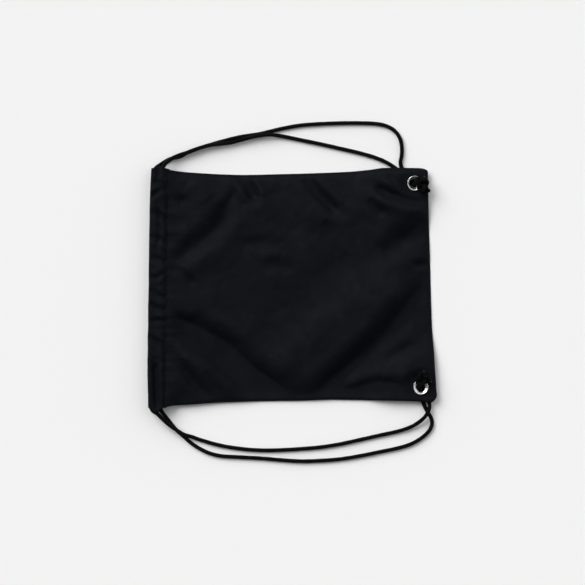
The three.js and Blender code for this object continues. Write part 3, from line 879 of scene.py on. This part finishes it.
def hem_profile(x, front):
    """The hem's closed outer ring at each x: its y and its z, as (stations, points)."""
    turn = np.linspace(0, 2 * math.pi, PROFILE, endpoint=False)
    share = (1 - np.cos(turn)) / 2
    upper = np.sin(turn)[None, :] >= 0
    y0 = STITCH_Y - 0.3
    y1 = MOUTH_FOLD / MM - 1.5 * smooth(np.abs(x), 115, 165)[:, None]
    fold_wave = wander(x, x * 0 + 3.3, 60, 1.1) * 0.5 + wander(x, x * 0 + 7.7, 17, 1.9) * 0.35
    y = y0 + (y1 - y0 + fold_wave[:, None]) * share[None, :]

    off_cords = [y - run / MM for run in (STITCH_RUN_Y, FOLD_RUN_Y)]
    over_cords = sum(np.exp(-(off / CORD_WIDTH) ** 2) for off in off_cords)
    half = TIP_HALF + (HEM_HALF - TIP_HALF) * smooth(y, y0, y0 + 11)
    half = half - 0.45 * (1 - np.clip(over_cords, 0, 1)) * smooth(y, y0 + 6, y0 + 10)
    rounding = np.sqrt(np.clip(1 - ((y - (y1 - ROUNDING)) / ROUNDING).clip(0, 1) ** 2, 0, 1))
    half = np.where(y > y1 - ROUNDING, half * rounding, half)

    base = FRONT_HEM_BASE / MM if front else 0.0
    core = base + HEM_HEIGHT / MM / 2
    tip_z = base + (FRONT_TIP if front else BACK_TIP)
    middle = mix(tip_z, core, smooth(y, y0, y0 + 8))
    seed = FRONT_PUCKERS if front else BACK_PUCKERS
    near_tip = np.exp(-(y - TOP_Y).clip(0) / 6.5)
    gathers = puckers(hem_reach(x, STITCH_Y), seed)[:, None] * near_tip * PUCKERING
    small = wander(x[:, None] - y * 0.5, y * 1.4, 8, 3.7)
    large = wander(x[:, None] - y * 0.9, y, 19, 4.9)
    ripple = small * 0.55 + large * 0.6
    creases = fold_height(x[:, None] + y * 0, y, HEM_FOLDS) if front else 0
    slack = 0.9 if front else 0.0

    cover = np.maximum(*(np.sqrt(np.clip(CORD_COVER ** 2 - off ** 2, 0, None)) for off in off_cords))
    bottom = middle - half + gathers + (0.2 * ripple if front else 0)
    bottom = np.where(cover > 0, np.minimum(bottom, core - cover), bottom)
    bottom = np.maximum(bottom, mix(ABOVE_BACK, RESTING, smooth(y, TOP_Y, TOP_Y + 4)))
    top = middle + half + gathers + (ripple + creases + slack) * smooth(half, 0.4, 2.6)
    top = np.maximum(top, np.where(cover > 0, core + cover, bottom + half))
    return y, np.where(upper, top, bottom)


def hem(name, front, x_stations, material):
    """One half of a hem: a sleeve of cloth along x, with an inner skin and closed rims."""
    x = np.asarray(x_stations, float)
    y, z = hem_profile(x, front)
    dy = np.roll(y, -1, 1) - np.roll(y, 1, 1)
    dz = np.roll(z, -1, 1) - np.roll(z, 1, 1)
    size = np.maximum(np.hypot(dy, dz), 1e-6)
    out_y, out_z = -dz / size, dy / size
    inner_y, inner_z = y - out_y * SKIN, z - out_z * SKIN
    wide = hem_reach(x[:, None], y)
    outer = np.stack([wide, y, z], -1).reshape(-1, 3) * MM
    inner = np.stack([wide, inner_y, inner_z], -1).reshape(-1, 3) * MM
    stations, ring = y.shape
    count = stations * ring
    steps = np.hypot(np.diff(y, axis=1), np.diff(z, axis=1))
    around = np.concatenate([np.zeros((stations, 1)), np.cumsum(steps, 1)], 1)
    pattern = 0.9 if front else 0.6
    flat_uv = np.stack([x[:, None] * MM + y * 0, around * MM + pattern], -1).reshape(-1, 2)
    faces = []
    for face in ring_faces(stations, ring):
        faces += [face, tuple(count + c for c in face[::-1])]
    curved = len(faces)
    last = (stations - 1) * ring
    for j in range(ring):
        k = (j + 1) % ring
        faces.append((count + j, count + k, k, j))
        faces.append((last + j, last + k, count + last + k, count + last + j))
    uvs = [flat_uv[c % count] for face in faces for c in face]
    piece = add_mesh(name, np.vstack([outer, inner]), faces, uvs, material, curved)
    turn_outward(piece)
    return piece


def turn_outward(piece):
    """Makes the faces of a closed piece point outward."""
    bpy.context.view_layer.objects.active = piece
    bpy.ops.object.select_all(action="DESELECT")
    piece.select_set(True)
    bpy.ops.object.mode_set(mode="EDIT")
    bpy.ops.mesh.select_all(action="SELECT")
    bpy.ops.mesh.normals_make_consistent(inside=False)
    bpy.ops.object.mode_set(mode="OBJECT")
    piece.select_set(False)


def stations_between(start, end, step):
    return np.linspace(start, end, int(round((end - start) / step)) + 1)


MEETING = 0.03  # a station this close to the halves' meeting line keeps it smooth
HEM_HALVES = {
    "left": [*stations_between(HEM_LEFT / MM, -HEM_STEP, HEM_STEP), -MEETING, 0],
    "right": [0, MEETING, *stations_between(HEM_STEP, HEM_RIGHT / MM, HEM_STEP)],
}


STITCH_PITCH, STITCH_LENGTH, STITCH_ROW_Y = 3.1, 2.5, 178.8
THREAD_HALF_WIDTH, THREAD_HALF_HEIGHT = 0.34, 0.28


def one_stitch(centre, along, across, up, length, width, height):
    """Points and faces of a short rounded thread that dips in at both ends."""
    verts = []
    rings, sides = 6, 6
    for i in range(rings):
        t = i / (rings - 1)
        swell = math.sin(math.pi * (0.08 + 0.84 * t)) ** 0.5
        middle = centre + along * (t - 0.5) * length - up * (1 - math.sin(math.pi * t)) * height * 0.6
        for j in range(sides):
            a = 2 * math.pi * j / sides
            verts.append(middle + across * math.cos(a) * width * swell + up * math.sin(a) * height * swell)
    ends = tuple(range(sides))[::-1], tuple(range((rings - 1) * sides, rings * sides))
    return verts, [*ring_faces(rings, sides), *ends]


def stitches(name, front, half):
    """A row of stitches that holds the panel's edge to the hem."""
    start, end = (HEM_LEFT / MM + 1, 0) if half == "left" else (0, HEM_RIGHT / MM - 1)
    xs = np.arange(start + STITCH_PITCH / 2, end - STITCH_PITCH / 4, STITCH_PITCH)
    xs = hem_reach(xs, STITCH_ROW_Y)
    if front:
        zs = FRONT_HEM_BASE / MM + FRONT_LAP + CLOTH + puckers(xs, FRONT_PUCKERS) * PUCKERING
    else:
        zs = np.full(len(xs), 0.2)
    along = Vector((1, 0.05, 0)).normalized()
    up = Vector((0, 0, 1 if front else -1))
    size = (STITCH_LENGTH * MM, THREAD_HALF_WIDTH * MM, THREAD_HALF_HEIGHT * MM)
    verts, faces = [], []
    for x, z in zip(xs, zs):
        centre = Vector((x, STITCH_ROW_Y, z)) * MM + up * 0.0001
        more, shape = one_stitch(centre, along, along.cross(up), up, *size)
        faces += [tuple(len(verts) + c for c in f) for f in shape]
        verts += more
    uvs = [(verts[c].x, verts[c].y) for f in faces for c in f]
    piece = add_mesh(name, verts, faces, uvs, THREAD)
    turn_outward(piece)
    return piece


for half, xs in HEM_HALVES.items():
    for panel in ("back", "front"):
        tunnel = hem(f"{panel}_hem_{half}_half", panel == "front", xs, SHADED_HEM_CLOTH)
        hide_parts(f"{panel}_casing")
        gather(tunnel)
        row = stitches(f"{panel}_hem_stitches_{half}_half", panel == "front", half)
        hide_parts(f"{panel}_casing_stitching")
        gather(row)


# ------ eyelets, in metres
def lathe(name, profile, centre, material, segments=72):
    """A turned ring. profile is its closed outline, as radius and z."""
    ring = len(profile)
    verts, faces, uvs = [], [], []
    for i in range(segments):
        a = 2 * math.pi * i / segments
        verts += [(centre[0] + r * math.cos(a), centre[1] + r * math.sin(a), z) for r, z in profile]
    for i in range(segments):
        m = (i + 1) % segments
        for j in range(ring):
            k = (j + 1) % ring
            faces.append((i * ring + j, m * ring + j, m * ring + k, i * ring + k))
            uvs += [(i * MM, j * MM)] * 4
    piece = add_mesh(name, verts, faces, uvs, material)
    turn_outward(piece)
    return piece


def eyelet_profile():
    """A rolled flange on a short barrel: its crest is near the rim, and it slopes into the hole."""
    hole, crest, outer, wall = 0.0064, 0.0101, 0.01078, 0.0005
    foot, base, top = 0.0062, FLANGE_BASE - 0.0001, TIE_HEIGHT + 0.0001
    lip = top - 0.0015
    points = [(hole, foot), (hole + wall, foot), (hole + wall, base), (outer - 0.0001, base)]
    for a in np.linspace(0.15, math.pi / 2, 8):
        points.append((crest + (outer - crest) * math.cos(a), base + (top - base) * math.sin(a)))
    for t in np.linspace(0.1, 1, 10):
        points.append((mix(crest, hole, t), mix(top, lip, 0.75 * t + 0.25 * t * t)))
    return points


def washer_profile():
    """A flat washer with bevelled lower edges."""
    inner, outer, low, high, bevel = 0.0072, 0.01075, 0.0064, 0.0073, 0.0002
    return [(inner, low + bevel), (inner + bevel, low), (outer - bevel, low), (outer, low + bevel),
            (outer, high), (inner, high)]


for side, centre in EYELETS.items():
    flange = lathe(f"{side}_eyelet_flange", eyelet_profile(), centre, NICKEL)
    washer = lathe(f"{side}_eyelet_back_washer", washer_profile(), centre, NICKEL)
    for piece, node in ((flange, f"{side}_eyelet"), (washer, f"{side}_eyelet_washer")):
        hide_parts(node)
        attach(piece, "bag")


# ------ floor and light
FLOOR_GREY, FLOOR_REACH = 0.83, 8.0
# The two directions that light comes from, how strong it is there, and the cosines that it fades between.
KEY_WAY, KEY_LEVEL, KEY_FADE = Vector((0.54, 0.56, 0.64)).normalized(), 7.4, (0.90, 0.98)
SIDE_WAY, SIDE_LEVEL, SIDE_FADE = Vector((0.95, -0.30, 0)).normalized(), 0.88, (-0.6, 0.6)
AMBIENT = 0.09


def make_floor():
    """A matt pale floor that goes on past the picture."""
    grey = (FLOOR_GREY, FLOOR_GREY, FLOOR_GREY, 1)
    material = new_material("floor", Base_Color=grey, Roughness=0.9, Specular_IOR_Level=0.1)[0]
    verts = [(x * FLOOR_REACH, y * FLOOR_REACH, 0) for x, y in ((-1, -1), (1, -1), (1, 1), (-1, 1))]
    floor = add_mesh("floor", verts, [(0, 1, 2, 3)], None, material)


def soft_studio():
    """Light by direction: a soft lobe high up, a wide slope from one side, and a faint glow all round."""
    world = bpy.data.worlds.new("studio")
    bpy.context.scene.world = world
    world.use_nodes = True
    tree = world.node_tree
    place = tree.nodes.new("ShaderNodeTexCoord")

    def towards(way, start, end):
        dot = tree.nodes.new("ShaderNodeVectorMath")
        dot.operation = "DOT_PRODUCT"
        tree.links.new(place.outputs["Generated"], dot.inputs[0])
        dot.inputs[1].default_value = way
        level = tree.nodes.new("ShaderNodeMapRange")
        level.interpolation_type = "SMOOTHSTEP"
        level.inputs["From Min"].default_value = start
        level.inputs["From Max"].default_value = end
        tree.links.new(dot.outputs["Value"], level.inputs["Value"])
        return level.outputs["Result"]

    key = math_node(tree, "MULTIPLY", towards(KEY_WAY, *KEY_FADE), KEY_LEVEL)
    side = math_node(tree, "MULTIPLY", towards(SIDE_WAY, *SIDE_FADE), SIDE_LEVEL)
    level = math_node(tree, "ADD", math_node(tree, "ADD", key, side), AMBIENT)
    tree.links.new(level, tree.nodes["Background"].inputs["Strength"])
    tree.nodes["Background"].inputs["Color"].default_value = (1, 1, 1, 1)


make_floor()
soft_studio()
bpy.context.scene.view_settings.view_transform = "Standard"

bpy.context.view_layer.update()
